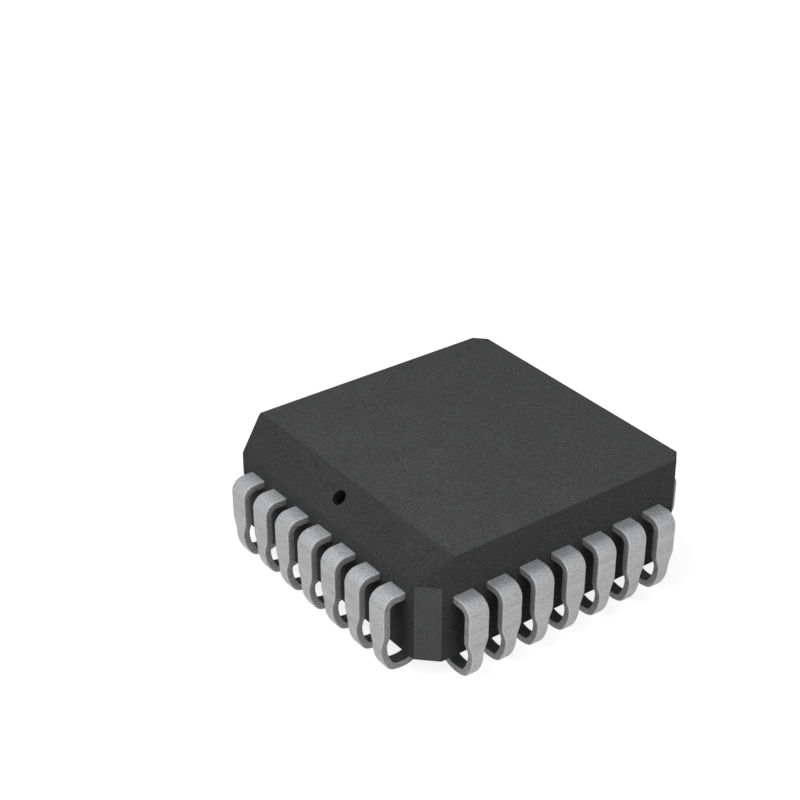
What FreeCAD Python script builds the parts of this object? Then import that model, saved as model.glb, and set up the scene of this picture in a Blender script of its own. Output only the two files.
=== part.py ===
"""Chip carrier with J-shaped leads on four sides, 28 in all.

Frame: millimetres, +Z up, origin under the centre of the body, z = 0 where the leads touch a board.
The bevelled side with the index hole faces -X, and the larger corner flat is at -X -Y.
"""
import os

import FreeCAD
import Part
import Sketcher

# Driving sizes, in millimetres and degrees
SIZES = {
    # moulded body
    "end_margin": 1.38,
    "standoff": 0.60,
    "lower_mould": 2.05,
    "upper_mould": 1.40,
    "draft_angle": 0.5,
    "corner_leg": 0.40,
    "bevelled_corner_leg": 0.47,
    "index_corner_leg": 0.62,
    "underside_round": 0.08,
    "bevel_inset": 1.04,
    "bevel_drop": 0.97,
    "index_hole_diameter": 0.50,
    "index_hole_depth": 0.45,
    "index_hole_rise": 0.77,
    # leads outside the body
    "lead_pitch": 1.27,
    "lead_width": 0.75,
    "lead_thickness": 0.25,
    "lead_standout": 0.80,
    "shoulder_inner_radius": 0.20,
    "neck_length": 0.48,
    "foot_width": 0.43,
    "foot_length": 0.04,
    # the hook's three bends: inner radii, and how far the strip has turned after the first two
    "lean_inner_radius": 1.10,
    "lean_angle": 37,
    "heel_inner_radius": 0.16,
    "heel_angle": 72,
    "sole_inner_radius": 0.92,
    "hook_tip_clearance": 0.06,
    # leads inside the body
    "wide_cover": 0.45,
    "finger_width": 0.36,
    "finger_pitch": 0.62,
    "finger_length": 0.45,
    "finger_gap": 0.45,
    # die pad and its four tie bars
    "die_pad_width": 4.20,
    "die_pad_downset": 0.30,
    "tie_bar_width": 0.25,
    "tie_bar_cover": 0.30,
    "tie_bar_ramp": 0.40,
    # die, its bonding layer and the bond wires
    "die_width": 3.00,
    "die_thickness": 0.30,
    "bond_layer_thickness": 0.04,
    "bond_layer_margin": 0.08,
    "bond_pad_inset": 0.15,
    "bond_pad_pitch": 0.34,
    "wire_diameter": 0.03,
    "wire_loop_height": 0.20,
    "wire_ball_diameter": 0.09,
    "wire_ball_height": 0.03,
    "stitch_inset": 0.20,
}

LEADS_PER_SIDE = 7

# Each side: the turn about Z of its outward +X, and the way in which its lead places count up
SIDES = (
    (-90, (1, 0)),
    (0, (0, 1)),
    (90, (-1, 0)),
    (180, (0, -1)),
)

# The turn from the outward +X to each corner that gets a feature of its own
TIE_BAR_CORNER = 45
BEVELLED_CORNER = 135
INDEX_CORNER = 225
FULL_TURN = 360

# How many flats stand in for a bond wire's round section
RING_POINTS = 6

# Two heights this near each other are the same
SAME_PLACE = 1e-6

# The first place of the first side is lead 5, because lead 1 is in the middle of the last side
FIRST_LEAD = 5

# Rules for places that several pieces share
BODY_HALF = f"((Sizes.lead_pitch * {LEADS_PER_SIDE - 1}) / 2 + Sizes.end_margin)"
LEAD_TOP = "(Sizes.standoff + Sizes.lower_mould + Sizes.lead_thickness)"
LEAD_UNDER = "(Sizes.standoff + Sizes.lower_mould)"
PARTING = "(Sizes.standoff + Sizes.lower_mould + Sizes.lead_thickness / 2)"
BODY_TOP = f"({LEAD_TOP} + Sizes.upper_mould)"
LEG_FACE = f"({BODY_HALF} + Sizes.lead_standout)"
LEG_BACK = f"({LEG_FACE} - Sizes.lead_thickness)"
SHOULDER_RADIUS = "(Sizes.shoulder_inner_radius + Sizes.lead_thickness)"
LEAN_END = "(Sizes.lean_angle * 1 deg)"
HEEL_END = "(Sizes.heel_angle * 1 deg)"
LEAN_TO_HEEL = "(Sizes.lean_inner_radius - Sizes.heel_inner_radius)"
HEEL_TO_SOLE = "(Sizes.sole_inner_radius - Sizes.heel_inner_radius)"
SOLE_HEIGHT = "(Sizes.sole_inner_radius + Sizes.lead_thickness)"
HEEL_HEIGHT = f"({SOLE_HEIGHT} - {HEEL_TO_SOLE} * sin({HEEL_END}))"
LEAN_HEIGHT = f"({HEEL_HEIGHT} + {LEAN_TO_HEEL} * sin({LEAN_END}))"
LEAN_OUT = f"({LEG_BACK} - Sizes.lean_inner_radius)"
HEEL_OUT = f"({LEAN_OUT} + {LEAN_TO_HEEL} * cos({LEAN_END}))"
SOLE_OUT = f"({HEEL_OUT} - {HEEL_TO_SOLE} * cos({HEEL_END}))"
TIP_RISE = f"({SOLE_HEIGHT} - Sizes.standoff + Sizes.hook_tip_clearance)"
SOLE_END = f"(180 deg - asin({TIP_RISE} / Sizes.sole_inner_radius))"
NECK_LOW = f"({LEAN_HEIGHT} + Sizes.foot_length)"
NECK_HIGH = f"({NECK_LOW} + Sizes.neck_length)"
FINGER_TIP = "(Sizes.die_pad_width / 2 + Sizes.finger_gap)"
DIE_PAD_TOP = f"({LEAD_TOP} - Sizes.die_pad_downset)"
DIE_UNDER = f"({DIE_PAD_TOP} + Sizes.bond_layer_thickness)"
DIE_TOP = f"({DIE_UNDER} + Sizes.die_thickness)"
BOND_PAD_ROW = "(Sizes.die_width / 2 - Sizes.bond_pad_inset)"
STITCH_ROW = f"({FINGER_TIP} + Sizes.stitch_inset)"

Vector = FreeCAD.Vector
Y_AXIS = Vector(0, 1, 0)
Z_AXIS = Vector(0, 0, 1)


def make_sheet(doc):
    """The spreadsheet that holds every driving size under its alias."""
    sheet = doc.addObject("Spreadsheet::Sheet", "Sizes")
    for row, (alias, size) in enumerate(SIZES.items(), start=1):
        sheet.set(f"A{row}", alias)
        sheet.set(f"B{row}", str(size))
        sheet.setAlias(f"B{row}", alias)
    doc.recompute()


def bind(thing, **rules):
    """Bind properties to rules; a double underscore stands for a dot in the property's path."""
    for path, rule in rules.items():
        thing.setExpression(path.replace("__", "."), rule)


def make_body(doc, name):
    body = doc.addObject("PartDesign::Body", name)
    body.Label = name
    return body


def origin_feature(body, role):
    """One of the planes or axes that a body is built on."""
    return next(feature for feature in body.Origin.OriginFeatures if feature.Role == role)


def sketch_on(body, name, role, lift=None, turn=None):
    """A sketch on an origin plane, lifted along its normal by a rule, or turned towards a corner."""
    sketch = body.newObject("Sketcher::SketchObject", f"{body.Name}_{name}")
    sketch.AttachmentSupport = [(origin_feature(body, role), "")]
    sketch.MapMode = "FlatFace"
    if turn is not None:
        sketch.AttachmentOffset = FreeCAD.Placement(Vector(), FreeCAD.Rotation(Y_AXIS, turn))
    if lift is not None:
        bind(sketch, AttachmentOffset__Base__z=lift)
    return sketch


def pin_point(sketch, shape, end, tag, corner):
    """Hold one end of a sketch line at the place that its two rules give."""
    origin = (-1, 1)
    for direction, rule in zip(("X", "Y"), corner):
        index = sketch.addConstraint(
            Sketcher.Constraint(f"Distance{direction}", *origin, shape, end, 1.0)
        )
        sketch.renameConstraint(index, f"{tag}_{direction}")
        sketch.setExpression(f"Constraints.{tag}_{direction}", rule)


def outline(sketch, corners):
    """A closed outline whose corners are pairs of rules, drawn roughly and then held in place."""
    count = len(corners)
    spread = FULL_TURN / count
    rough = [FreeCAD.Rotation(Z_AXIS, spread * i).multVec(Vector(1, 0, 0)) for i in range(count)]
    for i in range(count):
        sketch.addGeometry(Part.LineSegment(rough[i], rough[(i + 1) % count]), False)
    for i in range(count):
        sketch.addConstraint(Sketcher.Constraint("Coincident", i, 2, (i + 1) % count, 1))
    for i, corner in enumerate(corners):
        pin_point(sketch, i, 1, f"corner{i}", corner)


def rectangle(sketch, low_x, high_x, low_y, high_y):
    outline(sketch, [(low_x, low_y), (high_x, low_y), (high_x, high_y), (low_x, high_y)])


def hinge_line(sketch, start, end):
    """A construction line that a revolution turns about."""
    line = sketch.addGeometry(Part.LineSegment(Vector(0, 0, 0), Vector(0, 1, 0)), True)
    pin_point(sketch, line, 1, "hinge_start", start)
    pin_point(sketch, line, 2, "hinge_end", end)


def ring(sketch, diameter):
    """A section with even flats, its corners on a circle round the sketch's origin."""
    step = FULL_TURN / RING_POINTS
    radius = f"{diameter} / 2"
    angles = [f"{step * (i + 0.5)} deg" for i in range(RING_POINTS)]
    outline(sketch, [(f"{radius} * cos({angle})", f"{radius} * sin({angle})") for angle in angles])


def pad(body, name, sketch, length, reverse=False, both_ways=False, taper=None):
    feature = body.newObject("PartDesign::Pad", f"{body.Name}_{name}")
    feature.Profile = sketch
    feature.Reversed = reverse
    feature.Midplane = both_ways
    bind(feature, Length=length)
    if taper is not None:
        bind(feature, TaperAngle=taper)
    return feature


def revolve(body, name, sketch, angle):
    feature = body.newObject("PartDesign::Revolution", f"{body.Name}_{name}")
    feature.Profile = sketch
    feature.ReferenceAxis = (sketch, ["Axis0"])
    bind(feature, Angle=angle)


def pocket(body, name, sketch, length, both_ways=False):
    feature = body.newObject("PartDesign::Pocket", f"{body.Name}_{name}")
    feature.Profile = sketch
    feature.Midplane = both_ways
    bind(feature, Length=length)


def both_signs(size):
    """The two rules for half a size either side of the middle."""
    return f"-{size} / 2", f"{size} / 2"


def place_on_side(thing, turn, along, outward, sideways):
    """Turn a piece to its side of the body, at an outward and a sideways distance from the origin."""
    thing.Placement = FreeCAD.Placement(Vector(), FreeCAD.Rotation(Z_AXIS, turn))
    ahead = (along[1], -along[0])
    bind(
        thing,
        Placement__Base__x=f"{ahead[0]} * ({outward}) + {along[0]} * ({sideways})",
        Placement__Base__y=f"{ahead[1]} * ({outward}) + {along[1]} * ({sideways})",
    )


def roll_foot(body, name, middle, start, end, inner_radius):
    """Bend the foot's strip about a middle, from one turn of the strip to another."""
    low, high = both_signs("Sizes.foot_width")
    section = sketch_on(body, name, "XY_Plane")
    section.AttachmentOffset = FreeCAD.Placement(Vector(), FreeCAD.Rotation(Y_AXIS, 1))
    bind(
        section,
        AttachmentOffset__Base__x=middle[0],
        AttachmentOffset__Base__z=middle[1],
        AttachmentOffset__Rotation__Angle=start,
    )
    rectangle(section, inner_radius, f"{inner_radius} + Sizes.lead_thickness", low, high)
    hinge_line(section, ("0", low), ("0", high))
    revolve(body, f"{name}_bend", section, f"{end} - {start}")


def make_lead(doc, number, turn, along, place):
    """One lead as formed from strip: fanned finger, shoulder bend, necked leg and rolled-under hook."""
    body = make_body(doc, f"lead_{number:02d}")
    low, high = both_signs("Sizes.lead_width")
    foot_low, foot_high = both_signs("Sizes.foot_width")
    drift = f"{place} * (Sizes.finger_pitch - Sizes.lead_pitch)"
    finger_low, finger_high = (f"{drift} + {edge}" for edge in both_signs("Sizes.finger_width"))
    bend_start = f"{LEG_FACE} - {SHOULDER_RADIUS}"
    bend_end = f"{LEAD_TOP} - {SHOULDER_RADIUS}"
    fan_inner = f"{FINGER_TIP} + Sizes.finger_length"
    fan_outer = f"{BODY_HALF} - Sizes.wide_cover"

    plan = sketch_on(body, "plan", "XY_Plane", lift=LEAD_UNDER)
    outline(
        plan,
        [
            (FINGER_TIP, finger_low),
            (fan_inner, finger_low),
            (fan_outer, low),
            (bend_start, low),
            (bend_start, high),
            (fan_outer, high),
            (fan_inner, finger_high),
            (FINGER_TIP, finger_high),
        ],
    )
    pad(body, "strip", plan, "Sizes.lead_thickness")

    bend = sketch_on(body, "bend", "YZ_Plane", lift=bend_start)
    rectangle(bend, low, high, LEAD_UNDER, LEAD_TOP)
    hinge_line(bend, (low, bend_end), (high, bend_end))
    revolve(body, "shoulder", bend, "90 deg")

    front = sketch_on(body, "front", "YZ_Plane", lift=LEG_BACK)
    outline(
        front,
        [
            (low, bend_end),
            (low, NECK_HIGH),
            (foot_low, NECK_LOW),
            (foot_low, LEAN_HEIGHT),
            (foot_high, LEAN_HEIGHT),
            (foot_high, NECK_LOW),
            (high, NECK_HIGH),
            (high, bend_end),
        ],
    )
    pad(body, "leg", front, "Sizes.lead_thickness")

    lean, heel, sole = (LEAN_OUT, LEAN_HEIGHT), (HEEL_OUT, HEEL_HEIGHT), (SOLE_OUT, SOLE_HEIGHT)
    roll_foot(body, "lean", lean, "0 deg", LEAN_END, "Sizes.lean_inner_radius")
    roll_foot(body, "heel", heel, LEAN_END, HEEL_END, "Sizes.heel_inner_radius")
    roll_foot(body, "sole", sole, HEEL_END, SOLE_END, "Sizes.sole_inner_radius")

    place_on_side(body, turn, along, "0", f"{place} * Sizes.lead_pitch")
    return body


def make_die_pad(doc):
    """The pad under the die, sunk below the leads, with a tie bar up to each corner of the body."""
    body = make_body(doc, "die_pad")
    low, high = both_signs("Sizes.die_pad_width")
    plan = sketch_on(body, "plan", "XY_Plane", lift=f"{DIE_PAD_TOP} - Sizes.lead_thickness")
    rectangle(plan, low, high, low, high)
    pad(body, "plate", plan, "Sizes.lead_thickness")

    inner = "Sizes.die_pad_width / 2"
    ramp_start = "Sizes.die_pad_width / 2 * sqrt(2)"
    ramp_end = f"{ramp_start} + Sizes.tie_bar_ramp"
    reach = f"(2 * {BODY_HALF} - Sizes.index_corner_leg) / sqrt(2) - Sizes.tie_bar_cover"
    side = sketch_on(body, "side", "XZ_Plane", turn=TIE_BAR_CORNER)
    outline(
        side,
        [
            (inner, f"{DIE_PAD_TOP} - Sizes.lead_thickness"),
            (ramp_start, f"{DIE_PAD_TOP} - Sizes.lead_thickness"),
            (ramp_end, LEAD_UNDER),
            (reach, LEAD_UNDER),
            (reach, LEAD_TOP),
            (ramp_end, LEAD_TOP),
            (ramp_start, DIE_PAD_TOP),
            (inner, DIE_PAD_TOP),
        ],
    )
    bar = pad(body, "tie_bar", side, "Sizes.tie_bar_width", both_ways=True)
    doc.recompute()
    pattern = body.newObject("PartDesign::PolarPattern", "die_pad_tie_bars")
    pattern.Originals = [bar]
    pattern.Axis = (origin_feature(body, "Z_Axis"), [""])
    pattern.Angle = FULL_TURN
    pattern.Occurrences = len(SIDES)
    body.Tip = pattern
    return body


def make_slab(doc, name, width, under, thickness):
    """A square slab centred on the Z axis."""
    slab = doc.addObject("Part::Box", name)
    slab.Label = name
    bind(
        slab,
        Length=width,
        Width=width,
        Height=thickness,
        Placement__Base__x=f"-({width}) / 2",
        Placement__Base__y=f"-({width}) / 2",
        Placement__Base__z=under,
    )
    return slab


def make_bond_wire(doc, number, turn, along, place):
    """One wire from its ball on the die, up to the top of the loop and down to its lead's finger."""
    body = make_body(doc, f"bond_wire_{number:02d}")
    run = f"({STITCH_ROW} - {BOND_PAD_ROW})"
    drift = f"({place} * (Sizes.finger_pitch - Sizes.bond_pad_pitch))"
    span = f"sqrt({run}^2 + {drift}^2)"
    fall = f"(Sizes.wire_loop_height + {DIE_TOP} - {LEAD_TOP})"

    path = sketch_on(body, "path", "XZ_Plane")
    rise = path.addGeometry(Part.LineSegment(Vector(0, 0, 0), Vector(0, 1, 0)), False)
    slope = path.addGeometry(Part.LineSegment(Vector(0, 1, 0), Vector(1, 0, 0)), False)
    path.addConstraint(Sketcher.Constraint("Coincident", rise, 2, slope, 1))
    pin_point(path, rise, 1, "foot", ("0", "0"))
    pin_point(path, rise, 2, "peak", ("0", "Sizes.wire_loop_height"))
    # the slope runs on below the finger's top by a wire's depth, and is trimmed there
    past = f"(1 + 2 * Sizes.wire_diameter / {fall})"
    pin_point(
        path,
        slope,
        2,
        "stitch",
        (f"{span} * {past}", f"Sizes.wire_loop_height - {fall} * {past}"),
    )
    section = sketch_on(body, "section", "XY_Plane")
    ring(section, "Sizes.wire_diameter")
    pipe = body.newObject("PartDesign::AdditivePipe", f"{body.Name}_pipe")
    pipe.Profile = section
    pipe.Spine = (path, ["Edge1", "Edge2"])
    pipe.Transition = "Right corner"

    ball = sketch_on(body, "ball", "XY_Plane")
    ring(ball, "Sizes.wire_ball_diameter")
    pad(body, "ball_bond", ball, "Sizes.wire_ball_height")

    trim = sketch_on(body, "trim", "XY_Plane", lift=f"{LEAD_TOP} - {DIE_TOP}")
    reach = f"{span} * {past} + Sizes.wire_diameter"
    rectangle(trim, f"{span} / 2", reach, "-Sizes.wire_diameter", "Sizes.wire_diameter")
    pocket(body, "stitch", trim, length="Sizes.lead_thickness")

    place_on_side(body, turn, along, BOND_PAD_ROW, f"{place} * Sizes.bond_pad_pitch")
    aim = f"{turn} deg + atan2({drift}; {run})"
    bind(body, Placement__Base__z=DIE_TOP, Placement__Rotation__Angle=aim)
    return body


def cut_corner_facet(body, name, corner, leg):
    """Slope a bevelled corner from its upright flat up to the corner of the top face."""
    flat = f"((2 * {BODY_HALF} - {leg}) / sqrt(2))"
    top = f"((2 * {BODY_HALF} - Sizes.bevel_inset) / sqrt(2))"
    bevel_low = f"({BODY_TOP} - Sizes.bevel_drop)"
    beyond = f"({flat} + Sizes.bevel_inset)"
    sketch = sketch_on(body, name, "XZ_Plane", turn=corner)
    outline(sketch, [(flat, bevel_low), (beyond, bevel_low), (beyond, BODY_TOP), (top, BODY_TOP)])
    pocket(body, f"{name}_facet", sketch, length=f"2 * {BODY_HALF}", both_ways=True)


def cut_index_hole(body):
    """A blind round hole, square to the bevel, a stated way up it and in the middle of its length."""
    run, drop = "Sizes.bevel_inset", "Sizes.bevel_drop"
    slope = f"sqrt({run}^2 + {drop}^2)"
    up = (f"({run} / {slope})", f"({drop} / {slope})")
    out = (f"(-{drop} / {slope})", f"({run} / {slope})")
    foot = (f"-{BODY_HALF}", f"({BODY_TOP} - {drop})")

    def spot(rise, height):
        rise = f"({rise})"
        height = f"({height})"
        return tuple(f"{foot[i]} + {rise} * {up[i]} + {height} * {out[i]}" for i in range(2))

    middle = "Sizes.index_hole_rise"
    edge = f"{middle} + Sizes.index_hole_diameter / 2"
    floor = "-Sizes.index_hole_depth"
    mouth = "Sizes.index_hole_depth"
    sketch = sketch_on(body, "index_hole", "XZ_Plane")
    outline(sketch, [spot(middle, floor), spot(edge, floor), spot(edge, mouth), spot(middle, mouth)])
    hinge_line(sketch, spot(middle, floor), spot(middle, mouth))
    groove = body.newObject("PartDesign::Groove", "mould_index_hole_groove")
    groove.Profile = sketch
    groove.ReferenceAxis = (sketch, ["Axis0"])
    groove.Angle = FULL_TURN


def round_underside(doc, body):
    """Round the edge all round the underside."""
    doc.recompute()
    base = body.Tip
    low = SIZES["standoff"]
    names = [
        f"Edge{i}"
        for i, edge in enumerate(base.Shape.Edges, start=1)
        if all(abs(vertex.Z - low) < SAME_PLACE for vertex in edge.Vertexes)
    ]
    fillet = body.newObject("PartDesign::Fillet", "mould_underside_round")
    fillet.Base = (base, names)
    bind(fillet, Radius="Sizes.underside_round")


def make_mould(doc):
    """The outside of the moulded body: a drafted block with corner flats, index bevel and index hole."""
    body = make_body(doc, "mould")
    half = BODY_HALF
    big, middling, small = "Sizes.index_corner_leg", "Sizes.bevelled_corner_leg", "Sizes.corner_leg"
    corners = [
        (f"-{half} + {big}", f"-{half}"),
        (f"{half} - {small}", f"-{half}"),
        (half, f"-{half} + {small}"),
        (half, f"{half} - {small}"),
        (f"{half} - {small}", half),
        (f"-{half} + {middling}", half),
        (f"-{half}", f"{half} - {middling}"),
        (f"-{half}", f"-{half} + {big}"),
    ]
    upper = sketch_on(body, "upper_plan", "XY_Plane", lift=PARTING)
    outline(upper, corners)
    pad(body, "upper_half", upper, f"{BODY_TOP} - {PARTING}", taper="-Sizes.draft_angle")
    lower = sketch_on(body, "lower_plan", "XY_Plane", lift=PARTING)
    outline(lower, corners)
    half_down = f"{PARTING} - Sizes.standoff"
    pad(body, "lower_half", lower, half_down, reverse=True, taper="-Sizes.draft_angle")

    bevel_low = f"({BODY_TOP} - Sizes.bevel_drop)"
    slope = sketch_on(body, "bevel", "XZ_Plane")
    outline(
        slope,
        [
            (f"-{half}", bevel_low),
            (f"-{half} + Sizes.bevel_inset", BODY_TOP),
            (f"-{half} - Sizes.bevel_inset", BODY_TOP),
            (f"-{half} - Sizes.bevel_inset", bevel_low),
        ],
    )
    across = f"2 * ({half} + Sizes.bevel_inset)"
    pocket(body, "index_bevel", slope, length=across, both_ways=True)
    cut_corner_facet(body, "index_corner", INDEX_CORNER, big)
    cut_corner_facet(body, "bevelled_corner", BEVELLED_CORNER, middling)
    cut_index_hole(body)
    round_underside(doc, body)
    return body


def compound(doc, name, links):
    group = doc.addObject("Part::Compound", name)
    group.Links = links
    return group


def cut(doc, name, base, tool):
    result = doc.addObject("Part::Cut", name)
    result.Base = base
    result.Tool = tool
    return result


def make_package_body(doc, leads, stack, wires):
    """The moulding compound, which fills every space round what it encloses."""
    mould = make_mould(doc)
    around_leads = cut(doc, "mould_around_leads", mould, compound(doc, "all_leads", leads))
    stacked = doc.addObject("Part::MultiFuse", "die_stack")
    stacked.Shapes = stack
    around_stack = cut(doc, "mould_around_stack", around_leads, stacked)
    package = cut(doc, "package_body", around_stack, compound(doc, "all_wires", wires))
    package.Label = "package_body"
    return package


def check(doc, pieces):
    """Stop if a feature failed, a piece is not one sound solid, or two pieces share a name."""
    failed = [thing.Name for thing in doc.Objects if {"Invalid", "Error"} & set(thing.State)]
    if failed:
        raise RuntimeError(f"features failed: {failed}")
    for piece in pieces:
        shape = piece.Shape
        if shape.isNull() or not shape.isValid() or len(shape.Solids) != 1:
            raise RuntimeError(f"{piece.Label} is not one sound solid")
    if len({piece.Label for piece in pieces}) != len(pieces):
        raise RuntimeError("two pieces share a name")


def main():
    doc = FreeCAD.newDocument("chip_carrier")
    make_sheet(doc)
    places = range(-(LEADS_PER_SIDE // 2), LEADS_PER_SIDE // 2 + 1)
    total = LEADS_PER_SIDE * len(SIDES)
    spots = [(turn, along, place) for turn, along in SIDES for place in places]
    leads = []
    wires = []
    for index, (turn, along, place) in enumerate(spots):
        number = (FIRST_LEAD - 1 + index) % total + 1
        leads.append(make_lead(doc, number, turn, along, place))
        wires.append(make_bond_wire(doc, number, turn, along, place))
    die_pad = make_die_pad(doc)
    bond_layer = make_slab(
        doc,
        "die_bond_layer",
        "Sizes.die_width + 2 * Sizes.bond_layer_margin",
        DIE_PAD_TOP,
        "Sizes.bond_layer_thickness",
    )
    die = make_slab(doc, "die", "Sizes.die_width", DIE_UNDER, "Sizes.die_thickness")
    stack = [die_pad, bond_layer, die]
    package = make_package_body(doc, leads, stack, wires)
    doc.recompute()
    pieces = [package] + leads + stack + wires
    check(doc, pieces)
    os.makedirs("parts", exist_ok=True)
    for piece in pieces:
        piece.Shape.exportStep(f"parts/{piece.Label}.step")
        print(piece.Label, f"{piece.Shape.Volume:.4f} cubic mm")


main()
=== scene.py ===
"""Looks of a chip carrier with J-shaped leads: moulded body, plated leads, camera and light.

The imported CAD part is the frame. Lengths are in millimetres here and go to metres in each mesh.
Colours are linear.
"""
import math

import bmesh
import bpy
from mathutils import Matrix, Vector


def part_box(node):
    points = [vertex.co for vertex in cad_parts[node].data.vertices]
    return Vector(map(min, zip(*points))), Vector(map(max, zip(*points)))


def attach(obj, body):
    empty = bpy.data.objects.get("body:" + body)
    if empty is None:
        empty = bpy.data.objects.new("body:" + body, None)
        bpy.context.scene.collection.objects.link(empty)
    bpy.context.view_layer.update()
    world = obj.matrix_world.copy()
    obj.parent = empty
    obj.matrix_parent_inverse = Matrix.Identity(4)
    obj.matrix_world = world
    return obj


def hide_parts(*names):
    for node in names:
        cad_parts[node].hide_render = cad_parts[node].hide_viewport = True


MM = 0.001


def grey(level, warmth=0.0):
    """A grey with its red raised and its blue lowered by the same share."""
    return (level * (1 + warmth), level, level * (1 - warmth), 1.0)


# Moulded body
DRAFT_ANGLE = math.radians(0.5)
CORNER_LEG = 0.40
BEVELLED_CORNER_LEG = 0.47
INDEX_CORNER_LEG = 0.62
BEVEL_INSET = 1.04
BEVEL_DROP = 0.97
UNDERSIDE_ROUND = 0.08
UNDERSIDE_STEPS = 8
MOULD_EDGE_ROUND = 0.022
MOULD_EDGE_STEPS = 3
INDEX_HOLE_RADIUS = 0.25
INDEX_HOLE_DEPTH = 0.45
INDEX_HOLE_RISE = 0.77
INDEX_HOLE_FLATS = 48

# Tests on the body: the least turn at a sharp edge, the play within which two places are one,
# the least share of a face's normal along the direction it looks in, and the most that the
# normal of an upright face rises or falls
SHARP_EDGE = math.radians(14)
NEAR = 1e-4
LOOKS_ALONG = 0.99
UPRIGHT = 0.1

# How pale each kind of face is, against the colour of the compound's grain: painted light on the
# top and the upper sides, painted shade on the slopes and inside the index hole, and the lower half
# as the grain is
PAINTED_SHADE_HOLE_TONE = 0.30
PAINTED_SHADE_SLOPE_TONE = 0.93
LOWER_HALF_TONE = 1.0
PAINTED_LIGHT_SIDE_TONE = 1.12
PAINTED_LIGHT_TOP_TONE = 1.22

# Leads, all cut and formed from one strip
LEAD_THICKNESS = 0.25
SHOULDER_INNER_RADIUS = 0.20
NECK_LENGTH = 0.48
NECK_SOFTENING = 0.07
FOOT_WIDTH = 0.43
FOOT_LENGTH = 0.04
LEAN_INNER_RADIUS = 1.10
LEAN_END = math.radians(37)
HEEL_INNER_RADIUS = 0.16
HEEL_END = math.radians(72)
SOLE_INNER_RADIUS = 0.92
HOOK_TIP_CLEARANCE = 0.06
WIDE_COVER = 0.45
FINGER_WIDTH = 0.36
FINGER_PITCH = 0.62
FINGER_LENGTH = 0.45
FINGER_TIP = 2.55
PUNCHED_ROUND = 0.045
BURR_ROUND = 0.022
LEAST_ROUND = BURR_ROUND / 4
SHOULDER_STEPS = 14
NECK_STEPS = 14
LEAN_STEPS = 10
HEEL_STEPS = 10
SOLE_STEPS = 16
CORNER_STEPS = 4
TIP_STEPS = 3

# How far each side is turned from +X, in the order of the leads' numbers, the leads on a side, and
# the number of the first side's first lead
SIDE_TURNS = (-90, 0, 90, 180)
LEADS_PER_SIDE = 7
FIRST_LEAD = 5

# The first side's middle lead and the next one: their boxes give the leads' sizes and pitch
MIDDLE_LEAD = "lead_08"
NEXT_LEAD = "lead_09"

# Marks on a lead's skin, three of them painted light and shade, and the powers that fade them round
# a corner and round the shoulder
SKIN_MARKS = ("punched_side", "bent_skin_and_painted_reflection", "painted_shade_inner_face", "painted_highlight_corner")
CORNER_FADE = 6
SHOULDER_FADE = 0.5

# Settings of Blender's tools: how strongly large faces rule a weighted normal, and a bevel's round
LARGE_FACES_RULE = 100
ROUND_PROFILE = 0.5

# Colours: the dark and pale ends of a grain, or one colour laid over it
MOULDED_SKIN = (grey(0.026, -0.01), grey(0.072, -0.01))
# Painted light: paler greys for the flat at the index corner
PAINTED_LIGHT_FLAT_GREYS = (grey(0.070, -0.01), grey(0.117, -0.01))
PLATED_FACE = (grey(0.255), grey(0.515))
# Painted reflection: cool greys for the level strip
PAINTED_REFLECTION_FACE = (grey(0.27, -0.04), grey(0.48, -0.04))
PUNCHED_SIDE = (grey(0.185), grey(0.37))
CLOUDED_TIN = grey(0.41, 0.02)
# Painted highlight on the outward corners of the leads
PAINTED_HIGHLIGHT_TIN = grey(0.58)
# Painted shade on the face of the leads that looks in
PAINTED_SHADE_INNER_TIN = grey(0.13, -0.06)
ROLLED_COPPER = ((0.62, 0.34, 0.22, 1.0), (0.80, 0.48, 0.33, 1.0))
SILVERY_EPOXY = (grey(0.32), grey(0.58))
POLISHED_SILICON = ((0.10, 0.11, 0.15, 1.0), (0.17, 0.16, 0.22, 1.0))
DRAWN_GOLD = ((0.80, 0.56, 0.20, 1.0), (0.90, 0.66, 0.28, 1.0))

# Fineness of each pattern in cells per millimetre, and how some are drawn out along each axis
COMPOUND_GRAIN = 18.0
COMPOUND_CLOUD = 0.7
TIN_GRAIN = 24.0
TIN_CLOUD = 1.3
WIPE_MARKS = 15.0
WIPE_STRETCH = (0.10, 0.10, 1.0)
SOFT_BANDS = 4.5
BAND_STRETCH = (0.12, 0.12, 1.0)
ROLLING_STREAKS = 6.0
STREAK_STRETCH = (0.06, 1.0, 1.0)
SILVER_FLAKES = 30.0
CIRCUIT_BLOCKS = 4.2
DRAWING_MARKS = 40.0

# Detail of a noise
SMOOTH = 1.0
PLAIN = 2.0
FINE = 3.0

# Bumps: strength, and depth in millimetres
COMPOUND_BUMP = (0.3, 0.008)
TIN_BUMP = (0.4, 0.005)
ROLLED_BUMP = (0.2, 0.003)
FLAKE_BUMP = (0.3, 0.004)

# Moulding compound: the shade of its grain from 0, dark, to 1, pale, and its gloss
NOISE_MEAN = 0.5
GRAIN_CONTRAST = 1.6
CLOUD_CONTRAST = 0.3
COMPOUND_SHADE = 0.38
COMPOUND_ROUGHNESS = (0.64, 0.84)
COMPOUND_SPECULAR = 0.07

# Tin: what each pattern adds to the sheen, how far each mark covers what lies under it, what each
# adds to the roughness, and the parts of the relief
SPECKLE_CONTRAST = 2.4
SPECKLE_DROP = 0.7
SPECKLE_SHEEN = 0.45
WIPED_SHEEN = 0.35
BANDED_SHEEN = 0.7
SHEEN_DROP = 0.25
CLOUD_COVER = 0.3
# Painted reflection: how far the cool greys cover the level strip
PAINTED_REFLECTION_COVER = 0.7
# Painted highlight: how far it covers the outward corners
PAINTED_HIGHLIGHT_COVER = 0.4
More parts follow.
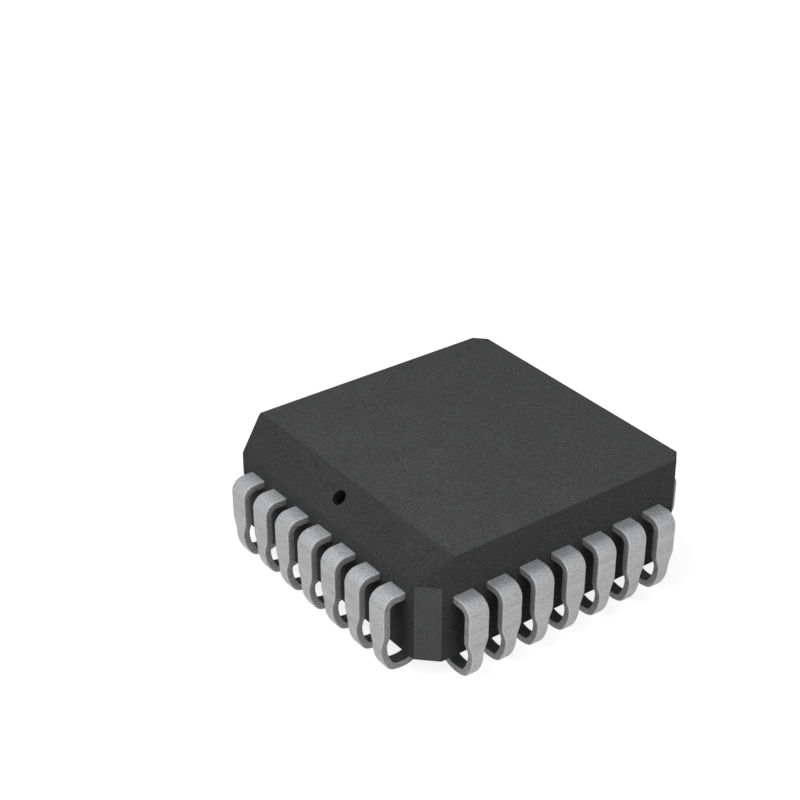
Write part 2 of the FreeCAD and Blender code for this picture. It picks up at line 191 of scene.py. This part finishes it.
# Painted shade: how far it covers the face that looks in
PAINTED_SHADE_INNER_COVER = 0.8
TIN_ROUGHNESS = 0.60
WIPED_ROUGHNESS = 0.10
BENT_ROUGHNESS = 0.10
PUNCHED_ROUGHNESS = 0.12
GRAIN_RELIEF = 0.5
WIPED_RELIEF = 0.5

# Inner pieces
ROLLED_ROUGHNESS = (0.28, 0.48)
FLAKE_METAL = 0.9
EPOXY_ROUGHNESS = 0.7
FLAKE_GLOSS = 0.2
SILICON_METAL = 0.7
SILICON_ROUGHNESS = (0.14, 0.30)
GOLD_ROUGHNESS = (0.18, 0.30)

# Light: each lamp has a name, a place, a side length and its watts
WHITE = (1.0, 1.0, 1.0, 1.0)
FILL_STRENGTH = 0.26
FLOOR_SIZE = 900.0
FLOOR_GREY = 0.50
FLOOR_LIFT = 0.78
FAR_FLOOR_LIFT = 0.88
FAR_FLOOR = 120.0
LAMPS = (
    ("left_lamp", (-60.0, 10.0, 48.0), 45.0, 0.0156),
    ("overhead_lamp", (-8.0, -2.0, 26.0), 16.0, 0.0022),
    ("right_lamp", (-5.0, -70.0, 35.0), 45.0, 0.0163),
    ("back_lamp", (35.0, 50.0, 40.0), 45.0, 0.0035),
)

# Camera, as fitted to the photograph's leads and corners
CAMERA_TURN = math.radians(-38.776)
CAMERA_RISE = math.radians(32.908)
CAMERA_ROLL = math.radians(1.178)
CAMERA_DISTANCE = 56.676
CAMERA_AIM = (0.0, 0.0, 2.116)
NEAREST_SEEN = 1.0
PHOTO_WIDTH = 800
FOCAL_PIXELS = 1724.34
CENTRE_COLUMN = 455.71
CENTRE_ROW = 495.96
SENSOR_WIDTH = 36.0


class Signal:
    """One output socket. Python's operators on it add Math nodes to its tree."""

    def __init__(self, nodes, socket):
        self.nodes = nodes
        self.socket = socket

    def __add__(self, other):
        return self.nodes.add("Math", {0: self, 1: other}, operation="ADD")

    def __sub__(self, other):
        return self.nodes.add("Math", {0: self, 1: other}, operation="SUBTRACT")

    def __rsub__(self, other):
        return self.nodes.add("Math", {0: other, 1: self}, operation="SUBTRACT")

    def __mul__(self, other):
        return self.nodes.add("Math", {0: self, 1: other}, operation="MULTIPLY")

    __radd__ = __add__
    __rmul__ = __mul__

    def clipped(self):
        """The value held between 0 and 1."""
        return self.nodes.add("Math", {0: self, 1: 0.0}, operation="ADD", use_clamp=True)


class Nodes:
    """A node tree, with one method that adds any node."""

    def __init__(self, owner):
        owner.use_nodes = True
        self.owner = owner
        self.tree = owner.node_tree
        self.tree.nodes.clear()

    def add(self, kind, sockets=None, output=0, **settings):
        """Adds a node, sets it up, then fills its sockets with values or links."""
        node = self.tree.nodes.new("ShaderNode" + kind)
        for name, value in settings.items():
            setattr(node, name, value)
        for key, value in (sockets or {}).items():
            if isinstance(value, Signal):
                self.tree.links.new(value.socket, node.inputs[key])
            else:
                node.inputs[key].default_value = value
        if node.outputs:
            return Signal(self, node.outputs[output])
        return None

    def place(self):
        """Places on the object's own axes, so that a pattern keeps to its piece."""
        return self.add("TexCoord", output="Object")

    def mark(self, name):
        """The value that a mesh carries under a name."""
        return self.add("Attribute", output="Fac", attribute_name=name)

    def noise(self, place, cells, detail=PLAIN):
        """Noise with so many cells in a millimetre."""
        return self.add("TexNoise", {"Vector": place, "Scale": cells / MM, "Detail": detail})

    def mix(self, amount, first, second):
        """A colour between two. The Mix node keeps colours in inputs 6 and 7 and in output 2."""
        sockets = {0: amount, 6: first, 7: second}
        return self.add("Mix", sockets, output=2, data_type="RGBA")

    def stretched(self, place, scale):
        """Places with their axes scaled apart, for streaks."""
        return self.add("VectorMath", {0: place, 1: scale}, operation="MULTIPLY")

    def bump(self, height, strength, depth):
        """The normal over a relief whose depth is in millimetres."""
        return self.add("Bump", {"Height": height, "Strength": strength, "Distance": depth * MM})

    def surface(self, **sockets):
        """The material's one shader; an underscore in a name stands for a space."""
        named = {name.replace("_", " "): value for name, value in sockets.items()}
        shader = self.add("BsdfPrincipled", named)
        self.add("OutputMaterial", {"Surface": shader})
        return self.owner


def new_finish(name):
    return Nodes(bpy.data.materials.new(name))


def ranged(share, ends):
    """A value that runs from one end to the other as the share goes from 0 to 1."""
    first, last = ends
    return first + share * (last - first)


def mould_compound():
    """Charcoal moulding compound: fine spark-eroded grain with faint cloudiness.

    Its colour is scaled face by face as painted light and shade, and the flat cut at the index
    corner is painted paler as painted light.
    """
    nodes = new_finish("mould_compound")
    place = nodes.place()
    grain = nodes.noise(place, COMPOUND_GRAIN, SMOOTH)
    cloud = nodes.noise(place, COMPOUND_CLOUD, FINE)
    contrast = (grain - NOISE_MEAN) * GRAIN_CONTRAST
    shade = (contrast + COMPOUND_SHADE + cloud * CLOUD_CONTRAST).clipped()
    # Painted light and shade: the grain's colour scaled by how pale each face is painted
    scaled = {0: nodes.mix(shade, *MOULDED_SKIN), "Scale": nodes.mark("painted_light_and_shade")}
    skin_with_painted_light = nodes.add("VectorMath", scaled, operation="SCALE")
    # Painted light: the flat at the index corner in paler greys
    painted_flat = nodes.mix(shade, *PAINTED_LIGHT_FLAT_GREYS)
    return nodes.surface(
        Base_Color=nodes.mix(nodes.mark("painted_light_flat"), skin_with_painted_light, painted_flat),
        Roughness=ranged(grain, COMPOUND_ROUGHNESS),
        Specular_IOR_Level=COMPOUND_SPECULAR,
        Normal=nodes.bump(grain, *COMPOUND_BUMP),
    )


def tin_plate():
    """Satin tin over formed copper alloy, with speckle, wipe marks and soft bands.

    It is rougher where the strip was punched or where it bends, and greyer on the punched sides. It
    is cool on the level strip as a painted reflection, paler on the outward corners as a painted
    highlight, and dark on the face that looks in as painted shade.
    """
    nodes = new_finish("tin_plate")
    place = nodes.place()
    grain = nodes.noise(place, TIN_GRAIN, SMOOTH)
    wiped = nodes.noise(nodes.stretched(place, WIPE_STRETCH), WIPE_MARKS)
    banded = nodes.noise(nodes.stretched(place, BAND_STRETCH), SOFT_BANDS, SMOOTH)
    cloud = nodes.noise(place, TIN_CLOUD)
    punched, bent_and_reflection, inner, painted_highlight = (nodes.mark(name) for name in SKIN_MARKS)
    speckle = (grain * SPECKLE_CONTRAST - SPECKLE_DROP).clipped()
    patterns = speckle * SPECKLE_SHEEN + wiped * WIPED_SHEEN + banded * BANDED_SHEEN
    plated = nodes.mix((patterns - SHEEN_DROP).clipped(), *PLATED_FACE)
    clouded = nodes.mix(cloud * CLOUD_COVER, plated, CLOUDED_TIN)
    # Painted reflection: a cool tint over the level strip
    formed = nodes.mix(bent_and_reflection * PAINTED_REFLECTION_COVER, clouded, nodes.mix(speckle, *PAINTED_REFLECTION_FACE))
    cut = nodes.mix(punched, formed, nodes.mix(speckle, *PUNCHED_SIDE))
    # Painted highlight: paler outward corners
    outer = nodes.mix(painted_highlight * PAINTED_HIGHLIGHT_COVER, cut, PAINTED_HIGHLIGHT_TIN)
    added = wiped * WIPED_ROUGHNESS + bent_and_reflection * BENT_ROUGHNESS + punched * PUNCHED_ROUGHNESS
    relief = grain * GRAIN_RELIEF + wiped * WIPED_RELIEF
    return nodes.surface(
        # Painted shade: the face that looks in made dark
        Base_Color=nodes.mix(inner * PAINTED_SHADE_INNER_COVER, outer, PAINTED_SHADE_INNER_TIN),
        Metallic=1.0,
        Roughness=(TIN_ROUGHNESS + added).clipped(),
        Normal=nodes.bump(relief, *TIN_BUMP),
    )


def bare_lead_frame():
    """Rolled copper alloy with streaks along the rolling direction."""
    nodes = new_finish("bare_lead_frame")
    streaks = nodes.noise(nodes.stretched(nodes.place(), STREAK_STRETCH), ROLLING_STREAKS, FINE)
    return nodes.surface(
        Base_Color=nodes.mix(streaks, *ROLLED_COPPER),
        Metallic=1.0,
        Roughness=ranged(streaks, ROLLED_ROUGHNESS),
        Normal=nodes.bump(streaks, *ROLLED_BUMP),
    )


def silver_adhesive():
    """Cured epoxy full of silver flakes."""
    nodes = new_finish("silver_adhesive")
    flakes = nodes.noise(nodes.place(), SILVER_FLAKES)
    return nodes.surface(
        Base_Color=nodes.mix(flakes, *SILVERY_EPOXY),
        Metallic=(flakes * FLAKE_METAL).clipped(),
        Roughness=EPOXY_ROUGHNESS - flakes * FLAKE_GLOSS,
        Normal=nodes.bump(flakes, *FLAKE_BUMP),
    )


def silicon():
    """Polished silicon with the faint blocks of its circuits."""
    nodes = new_finish("silicon")
    sockets = {"Vector": nodes.place(), "Scale": CIRCUIT_BLOCKS / MM}
    blocks = nodes.add("TexVoronoi", sockets, distance="CHEBYCHEV")
    return nodes.surface(
        Base_Color=nodes.mix(blocks, *POLISHED_SILICON),
        Metallic=SILICON_METAL,
        Roughness=ranged(blocks, SILICON_ROUGHNESS),
    )


def gold_wire():
    """Drawn gold with fine marks from the drawing."""
    nodes = new_finish("gold_wire")
    marks = nodes.noise(nodes.place(), DRAWING_MARKS)
    return nodes.surface(
        Base_Color=nodes.mix(marks, *DRAWN_GOLD),
        Metallic=1.0,
        Roughness=ranged(marks, GOLD_ROUGHNESS),
    )


def put_in_scene(name, data):
    thing = bpy.data.objects.new(name, data)
    bpy.context.scene.collection.objects.link(thing)
    return thing


def add_piece(name, form, finish, node):
    """Turns a bmesh in millimetres into a shaded piece that stands for one CAD node."""
    form.normal_update()
    mesh = bpy.data.meshes.new(name)
    form.to_mesh(mesh)
    form.free()
    mesh.transform(Matrix.Scale(MM, 4))
    mesh.materials.append(finish)
    mesh.shade_smooth()
    piece = put_in_scene(name, mesh)
    weighted = piece.modifiers.new("flat faces keep their normals", "WEIGHTED_NORMAL")
    weighted.mode = "FACE_AREA"
    weighted.weight = LARGE_FACES_RULE
    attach(piece, "root")
    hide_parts(node)


def box_in_mm(node):
    low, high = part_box(node)
    return low / MM, high / MM


def clamped(share):
    return min(max(share, 0.0), 1.0)


def skin_rings(form, rings):
    """Joins each ring of points to the next, all the way round."""
    for first, second in zip(rings, rings[1:]):
        for i in range(len(first)):
            form.faces.new((first[i - 1], first[i], second[i], second[i - 1]))


def body_plan(half, inset):
    """The eight corners of the body's outline, drawn in from the parting line by the draft."""
    legs = {(-1, -1): INDEX_CORNER_LEG, (-1, 1): BEVELLED_CORNER_LEG}
    side = half - inset
    leg_loss = inset * (2 - math.sqrt(2))
    corners = []
    for x, y in ((-1, -1), (1, -1), (1, 1), (-1, 1)):
        leg = legs.get((x, y), CORNER_LEG) - leg_loss
        near_y = (x * side, y * (side - leg))
        near_x = (x * (side - leg), y * side)
        corners += [near_y, near_x] if x == y else [near_x, near_y]
    return corners


def drafted_blank(low, parting, high, half):
    """The body before its cuts: two halves that narrow from the parting line by the draft."""
    form = bmesh.new()
    rings = []
    for height in (low, parting, high):
        outline = body_plan(half, abs(height - parting) * math.tan(DRAFT_ANGLE))
        rings.append([form.verts.new((x, y, height)) for x, y in outline])
    skin_rings(form, rings)
    form.faces.new(rings[0][::-1])
    form.faces.new(rings[-1])
    return form


def cut_away(form, point, normal):
    """Cuts off what lies on the normal's side of a plane, and closes the cut."""
    everything = form.verts[:] + form.edges[:] + form.faces[:]
    cut = bmesh.ops.bisect_plane(
        form, geom=everything, dist=NEAR, plane_co=point, plane_no=normal, clear_outer=True
    )
    rim = [item for item in cut["geom_cut"] if isinstance(item, bmesh.types.BMEdge)]
    bmesh.ops.contextual_create(form, geom=rim)


class IndexBevel:
    """The bevel along the index side: its foot, the directions up and out of it, and its hole."""

    def __init__(self, half, top):
        self.half = half
        self.foot = Vector((-half, 0, top - BEVEL_DROP))
        self.up = Vector((BEVEL_INSET, 0, BEVEL_DROP)).normalized()
        self.out = Vector((-BEVEL_DROP, 0, BEVEL_INSET)).normalized()
        self.hole_mouth = self.foot + self.up * INDEX_HOLE_RISE

    def cut(self, form):
        """Cuts the bevel, and the facet that leans from each of its corner flats to its top."""
        cut_away(form, self.foot, self.out)
        top_reach = (2 * self.half - BEVEL_INSET) / math.sqrt(2)
        for y, leg in ((-1, INDEX_CORNER_LEG), (1, BEVELLED_CORNER_LEG)):
            corner_out = Vector((-1, y, 0)).normalized()
            flat_reach = (2 * self.half - leg) / math.sqrt(2)
            facet_foot = corner_out * flat_reach + Vector((0, 0, self.foot.z))
            facet_out = corner_out * BEVEL_DROP + Vector((0, 0, flat_reach - top_reach))
            cut_away(form, facet_foot, facet_out.normalized())

    def sink_hole(self, form):
        """Opens the bevel's face with a round blind hole, square to it."""
        bevel_face = max(form.faces, key=lambda face: face.normal.dot(self.out))
        boundary = bevel_face.edges[:]
        form.faces.remove(bevel_face)
        rim = []
        for step in range(INDEX_HOLE_FLATS):
            angle = 2 * math.pi * step / INDEX_HOLE_FLATS
            spoke = self.up * math.cos(angle) + self.out.cross(self.up) * math.sin(angle)
            rim.append(form.verts.new(self.hole_mouth + spoke * INDEX_HOLE_RADIUS))
        mouth = [form.edges.new((rim[i - 1], rim[i])) for i in range(INDEX_HOLE_FLATS)]
        bmesh.ops.triangle_fill(form, edges=boundary + mouth, use_beauty=True, normal=self.out)
        bottom = [form.verts.new(vertex.co - self.out * INDEX_HOLE_DEPTH) for vertex in rim]
        skin_rings(form, [rim, bottom])
        form.faces.new(bottom)
        bmesh.ops.recalc_face_normals(form, faces=form.faces[:])

    def hole_holds(self, spot):
        """Whether a place is inside the hole, below its rounded rim."""
        depth = (self.hole_mouth - spot).dot(self.out)
        off_axis = (spot + self.out * depth - self.hole_mouth).length
        below_rim = MOULD_EDGE_ROUND < depth < INDEX_HOLE_DEPTH + NEAR
        return below_rim and off_axis < INDEX_HOLE_RADIUS + NEAR


def round_edges(form, edges, radius, steps):
    bmesh.ops.bevel(
        form,
        geom=edges,
        offset=radius,
        offset_type="OFFSET",
        segments=steps,
        profile=ROUND_PROFILE,
        affect="EDGES",
        clamp_overlap=False,
    )


def painted_light_and_shade(face, parting, bevel):
    """How pale a face of the body is painted: paler on the top and the upper sides as painted
    light, darker on the slopes and in the index hole as painted shade.
    """
    spot = face.calc_center_median()
    # Painted shade: the inside of the index hole is darkened
    if bevel.hole_holds(spot):
        return PAINTED_SHADE_HOLE_TONE
    # Painted light on the top and the upper sides, painted shade on the slopes
    if face.normal.z > LOOKS_ALONG:
        return PAINTED_LIGHT_TOP_TONE
    if abs(face.normal.z) < UPRIGHT and spot.z > parting:
        return PAINTED_LIGHT_SIDE_TONE
    return LOWER_HALF_TONE if spot.z < parting else PAINTED_SHADE_SLOPE_TONE


def mark_body(form, parting, bevel):
    """Marks how pale each face is painted, as painted light and shade, and the flat at the index
    corner, painted paler as painted light, for the finish.
    """
    painted_flat = form.loops.layers.float.new("painted_light_flat")
    painted_tone = form.loops.layers.float.new("painted_light_and_shade")
    index_out = Vector((-1, -1, 0)).normalized()
    for face in form.faces:
        painted_paleness = painted_light_and_shade(face, parting, bevel)
        for loop in face.loops:
            # Painted light: the flat at the index corner is marked to be paler
            loop[painted_flat] = float(face.normal.dot(index_out) > LOOKS_ALONG)
            loop[painted_tone] = painted_paleness


def moulded_body(finish):
    """The body as the mould leaves it: two drafted halves, flats, index bevel and index hole."""
    low, high = box_in_mm("package_body")
    lead_top = box_in_mm(MIDDLE_LEAD)[1].z
    parting = lead_top - LEAD_THICKNESS / 2
    form = drafted_blank(low.z, parting, high.z, high.x)
    bevel = IndexBevel(high.x, high.z)
    bevel.cut(form)
    form.normal_update()
    bevel.sink_hole(form)

    underside = [
        edge for edge in form.edges if all(abs(vertex.co.z - low.z) < NEAR for vertex in edge.verts)
    ]
    round_edges(form, underside, UNDERSIDE_ROUND, UNDERSIDE_STEPS)
    form.normal_update()
    sharp = [
        edge for edge in form.edges if edge.is_manifold and edge.calc_face_angle() > SHARP_EDGE
    ]
    round_edges(form, sharp, MOULD_EDGE_ROUND, MOULD_EDGE_STEPS)
    form.normal_update()
    mark_body(form, parting, bevel)
    add_piece("moulded_body", form, finish, "package_body")


class LeadPath:
    """The strip's middle line in its side view, from the finger's tip round to the hook's tip.

    A station is a place outward and up, the turn of the strip's outer face from straight up, and
    how far the strip's section is drawn in there.
    """

    def __init__(self, leg_face, lead_top, standoff, body_half, pitch, wide):
        self.pitch = pitch
        self.wide = wide
        self.fan_start = FINGER_TIP + FINGER_LENGTH
        self.fan_end = body_half - WIDE_COVER
        self.stations = []
        self.add_finger_and_shoulder(leg_face, lead_top, body_half)
        self.add_neck_and_hook(leg_face, standoff)
        self.add_tip()

    def add_finger_and_shoulder(self, leg_face, lead_top, body_half):
        shoulder = SHOULDER_INNER_RADIUS + LEAD_THICKNESS
        bend_start = leg_face - shoulder
        for x in (FINGER_TIP, self.fan_start, self.fan_end, body_half, bend_start):
            self.stations.append((x, lead_top - LEAD_THICKNESS / 2, 0.0, 0.0))
        centre = (bend_start, lead_top - shoulder)
        self.add_bend(centre, SHOULDER_INNER_RADIUS, 0.0, math.pi / 2, SHOULDER_STEPS)

    def add_neck_and_hook(self, leg_face, standoff):
        """Adds the leg's neck, then the lean, the heel and the sole, each tangent to the next."""
        lean_gap = LEAN_INNER_RADIUS - HEEL_INNER_RADIUS
        sole_gap = SOLE_INNER_RADIUS - HEEL_INNER_RADIUS
        sole_z = SOLE_INNER_RADIUS + LEAD_THICKNESS
        heel_z = sole_z - sole_gap * math.sin(HEEL_END)
        lean_z = heel_z + lean_gap * math.sin(LEAN_END)
        lean_x = leg_face - LEAD_THICKNESS - LEAN_INNER_RADIUS
        heel_x = lean_x + lean_gap * math.cos(LEAN_END)
        sole_x = heel_x - sole_gap * math.cos(HEEL_END)
        tip_rise = sole_z - standoff + HOOK_TIP_CLEARANCE
        sole_end = math.pi - math.asin(tip_rise / SOLE_INNER_RADIUS)

        neck_low = lean_z + FOOT_LENGTH
        neck_top = neck_low + NECK_LENGTH + NECK_SOFTENING
        self.neck_bottom = neck_low - NECK_SOFTENING
        down = math.pi / 2
        for step in range(NECK_STEPS + 1):
            z = neck_top - (neck_top - self.neck_bottom) * step / NECK_STEPS
            self.stations.append((leg_face - LEAD_THICKNESS / 2, z, down, 0.0))
        lean_end = down + LEAN_END
        heel_end = down + HEEL_END
        self.add_bend((lean_x, lean_z), LEAN_INNER_RADIUS, down, lean_end, LEAN_STEPS)
        self.add_bend((heel_x, heel_z), HEEL_INNER_RADIUS, lean_end, heel_end, HEEL_STEPS)
        self.add_bend((sole_x, sole_z), SOLE_INNER_RADIUS, heel_end, down + sole_end, SOLE_STEPS)

    def add_bend(self, centre, inner_radius, start, end, steps):
        """Adds stations round a bend; the strip's outer face looks along the station's turn."""
        radius = inner_radius + LEAD_THICKNESS / 2
        for step in range(1, steps + 1):
            turn = start + (end - start) * step / steps
            x = centre[0] + radius * math.sin(turn)
            z = centre[1] + radius * math.cos(turn)
            self.stations.append((x, z, turn, 0.0))

    def add_tip(self):
        """Closes in the hook's tip, with a shallow groove just inside its rim."""
        x, z, turn, _ = self.stations[-1]
        for step in range(1, TIP_STEPS + 1):
            angle = math.pi / 2 * step / TIP_STEPS
            back = BURR_ROUND * (1 - math.sin(angle))
            inset = BURR_ROUND * (1 - math.cos(angle))
            tip_x = x - math.cos(turn) * back
            tip_z = z + math.sin(turn) * back
            self.stations.append((tip_x, tip_z, turn, inset))

    def fan_share(self, x, turn):
        """0 along the finger's narrow part, and 1 from where the strip is wide."""
        if turn > 0.0:
            return 1.0
        return clamped((x - self.fan_start) / (self.fan_end - self.fan_start))

    def width(self, x, z, turn):
        """The strip's width at a station: a fan in the body, and a soft step at the neck."""
        if turn == 0.0:
            return FINGER_WIDTH + (self.wide - FINGER_WIDTH) * self.fan_share(x, turn)
        share = clamped((z - self.neck_bottom) / (NECK_LENGTH + 2 * NECK_SOFTENING))
        return FOOT_WIDTH + (self.wide - FOOT_WIDTH) * share * share * (3 - 2 * share)

    def along_side(self, place, x, turn):
        """How far along its side a lead is at a station: the fingers draw together at the die."""
        drawn_in = place * (FINGER_PITCH - self.pitch) * (1 - self.fan_share(x, turn))
        return place * self.pitch + drawn_in


def strip_section(width, inset):
    """A rounded rectangle across the strip: each point's place, and the angle it faces."""
    half_width = width / 2 - inset
    half_sheet = LEAD_THICKNESS / 2 - inset
    corners = (
        (1, 1, PUNCHED_ROUND, 0.0),
        (-1, 1, PUNCHED_ROUND, 90.0),
        (-1, -1, BURR_ROUND, 180.0),
        (1, -1, BURR_ROUND, 270.0),
    )
    points = []
    for across, outward, full_round, start in corners:
        radius = max(full_round - inset, LEAST_ROUND)
        for step in range(CORNER_STEPS + 1):
            angle = math.radians(start + 90.0 * step / CORNER_STEPS)
            sideways = across * (half_width - radius) + radius * math.cos(angle)
            height = outward * (half_sheet - radius) + radius * math.sin(angle)
            points.append((sideways, height, angle))
    return points


def skin_marks(facing, turn):
    """The marks at a point of the strip's skin, from the angle it faces and the strip's turn.

    The skin that bends counts fully where the strip is level, and not at all from the upright leg
    on; it also carries a cool painted reflection.
    """
    looks_out = math.sin(facing) > 0
    return (
        abs(math.cos(facing)) ** CORNER_FADE,
        # Painted reflection, and the roughness of the skin that bends
        math.cos(min(turn, math.pi / 2)) ** SHOULDER_FADE,
        # Painted shade on the face that looks in
        max(-math.sin(facing), 0.0) ** CORNER_FADE,
        # Painted highlight on the outward corners
        abs(math.sin(2 * facing)) if looks_out else 0.0,
    )


def lead(number, path, side_turn, place, finish):
    """One lead, swept along its path and closed at both tips."""
    form = bmesh.new()
    layers = [form.verts.layers.float.new(name) for name in SKIN_MARKS]
    to_side = Matrix.Rotation(math.radians(side_turn), 4, "Z")
    rings = []
    for x, z, turn, inset in path.stations:
        shift = path.along_side(place, x, turn)
        outward = Vector((math.sin(turn), 0, math.cos(turn)))
        ring = []
        for sideways, height, facing in strip_section(path.width(x, z, turn), inset):
            spot = Vector((x, shift + sideways, z)) + outward * height
            vertex = form.verts.new(to_side @ spot)
            for layer, amount in zip(layers, skin_marks(facing, turn)):
                vertex[layer] = amount
            ring.append(vertex)
        rings.append(ring)
    skin_rings(form, rings)
    form.faces.new(rings[0])
    form.faces.new(rings[-1])
    bmesh.ops.recalc_face_normals(form, faces=form.faces[:])
    name = f"lead_{number:02d}"
    add_piece(f"formed_{name}", form, finish, name)


def all_leads(finish):
    """Every lead in its place, numbered round the body from the middle of the index side."""
    body_low, body_high = box_in_mm("package_body")
    low, high = box_in_mm(MIDDLE_LEAD)
    next_high = box_in_mm(NEXT_LEAD)[1]
    path = LeadPath(
        leg_face=-low.y,
        lead_top=high.z,
        standoff=body_low.z,
        body_half=body_high.x,
        pitch=next_high.x - high.x,
        wide=high.x - low.x,
    )
    total = LEADS_PER_SIDE * len(SIDE_TURNS)
    reach = LEADS_PER_SIDE // 2
    number = FIRST_LEAD
    for side_turn in SIDE_TURNS:
        for place in range(-reach, reach + 1):
            lead((number - 1) % total + 1, path, side_turn, place, finish)
            number += 1


def finish_inner_pieces(cad_nodes):
    """Gives the pieces sealed in the body their own materials."""
    gold = gold_wire()
    inner = {
        "die_pad": bare_lead_frame(),
        "die_bond_layer": silver_adhesive(),
        "die": silicon(),
    }
    for name, node in cad_nodes.items():
        finish = gold if name.startswith("bond_wire") else inner.get(name)
        if finish:
            node.data.materials.clear()
            node.data.materials.append(finish)


def seen_directly(nodes):
    """1 for rays from the camera, or those that a mirror-like or clear surface sends on."""
    camera = nodes.add("LightPath", output="Is Camera Ray")
    outputs = camera.socket.node.outputs
    mirrored = Signal(nodes, outputs["Is Glossy Ray"])
    let_through = Signal(nodes, outputs["Is Transmission Ray"])
    return (camera + mirrored + let_through).clipped()


def pale_world():
    """White where it is seen, and a plain grey fill where it only lights."""
    world = bpy.data.worlds.new("pale_world")
    bpy.context.scene.world = world
    nodes = Nodes(world)
    strength = ranged(seen_directly(nodes), (FILL_STRENGTH, 1.0))
    light = nodes.add("Background", {"Color": WHITE, "Strength": strength})
    nodes.add("OutputWorld", {"Surface": light})


def floor_paint():
    """Matt paint that keeps shadows, with a glow that grows with the distance from the object."""
    nodes = new_finish("floor_paint")
    distance = nodes.add("VectorMath", {0: nodes.place()}, output="Value", operation="LENGTH")
    far_off = (distance * (1 / (FAR_FLOOR * MM))).clipped()
    lift = nodes.mix(far_off, grey(FLOOR_LIFT), grey(FAR_FLOOR_LIFT))
    matt = nodes.add("BsdfDiffuse", {"Color": grey(FLOOR_GREY)})
    glow = nodes.add("Emission", {"Color": lift, "Strength": seen_directly(nodes)})
    both = nodes.add("AddShader", {0: matt, 1: glow})
    nodes.add("OutputMaterial", {"Surface": both})
    return nodes.owner


def pale_floor():
    """A floor that takes the object's shadow, and reads white round it and far off."""
    half = FLOOR_SIZE / 2 * MM
    mesh = bpy.data.meshes.new("floor")
    corners = [(-half, -half, 0), (half, -half, 0), (half, half, 0), (-half, half, 0)]
    mesh.from_pydata(corners, [], [(0, 1, 2, 3)])
    mesh.materials.append(floor_paint())
    floor = put_in_scene("floor", mesh)


def soft_lamp(name, spot, size, watts):
    """A square lamp at a spot in millimetres, aimed at the middle of the object."""
    light = bpy.data.lights.new(name, "AREA")
    light.size = size * MM
    light.energy = watts
    lamp = put_in_scene(name, light)
    lamp.location = Vector(spot) * MM
    lamp.rotation_euler = (Vector(CAMERA_AIM) - Vector(spot)).to_track_quat("-Z", "Y").to_euler()


def photo_camera():
    """The camera at the photograph's view, with its off-centre frame as shift."""
    back = Vector((
        math.sin(CAMERA_TURN) * math.cos(CAMERA_RISE),
        -math.cos(CAMERA_TURN) * math.cos(CAMERA_RISE),
        math.sin(CAMERA_RISE),
    ))
    right = Vector((math.cos(CAMERA_TURN), math.sin(CAMERA_TURN), 0))
    up = back.cross(right)
    rolled_right = math.cos(CAMERA_ROLL) * right + math.sin(CAMERA_ROLL) * up
    rolled_up = math.cos(CAMERA_ROLL) * up - math.sin(CAMERA_ROLL) * right
    spot = (Vector(CAMERA_AIM) + back * CAMERA_DISTANCE) * MM
    turn = Matrix((rolled_right, rolled_up, back)).transposed()
    camera = put_in_scene("photo_camera", bpy.data.cameras.new("photo_camera"))
    camera.matrix_world = Matrix.Translation(spot) @ turn.to_4x4()
    camera.data.sensor_width = SENSOR_WIDTH
    camera.data.lens = FOCAL_PIXELS / PHOTO_WIDTH * SENSOR_WIDTH
    camera.data.shift_x = (PHOTO_WIDTH / 2 - CENTRE_COLUMN) / PHOTO_WIDTH
    camera.data.shift_y = (CENTRE_ROW - PHOTO_WIDTH / 2) / PHOTO_WIDTH
    camera.data.clip_start = NEAREST_SEEN * MM
    camera.data.clip_end = FLOOR_SIZE * MM
    bpy.context.scene.camera = camera


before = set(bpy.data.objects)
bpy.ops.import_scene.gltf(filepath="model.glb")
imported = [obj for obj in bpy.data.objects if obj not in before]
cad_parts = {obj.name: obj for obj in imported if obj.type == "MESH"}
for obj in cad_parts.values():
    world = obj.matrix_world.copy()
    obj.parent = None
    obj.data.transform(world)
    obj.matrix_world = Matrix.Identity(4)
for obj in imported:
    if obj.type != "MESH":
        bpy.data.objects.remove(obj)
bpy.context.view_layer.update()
bpy.context.scene.view_settings.view_transform = "Standard"

moulded_body(mould_compound())
all_leads(tin_plate())
finish_inner_pieces(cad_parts)

pale_world()
pale_floor()
for lamp_values in LAMPS:
    soft_lamp(*lamp_values)
photo_camera()
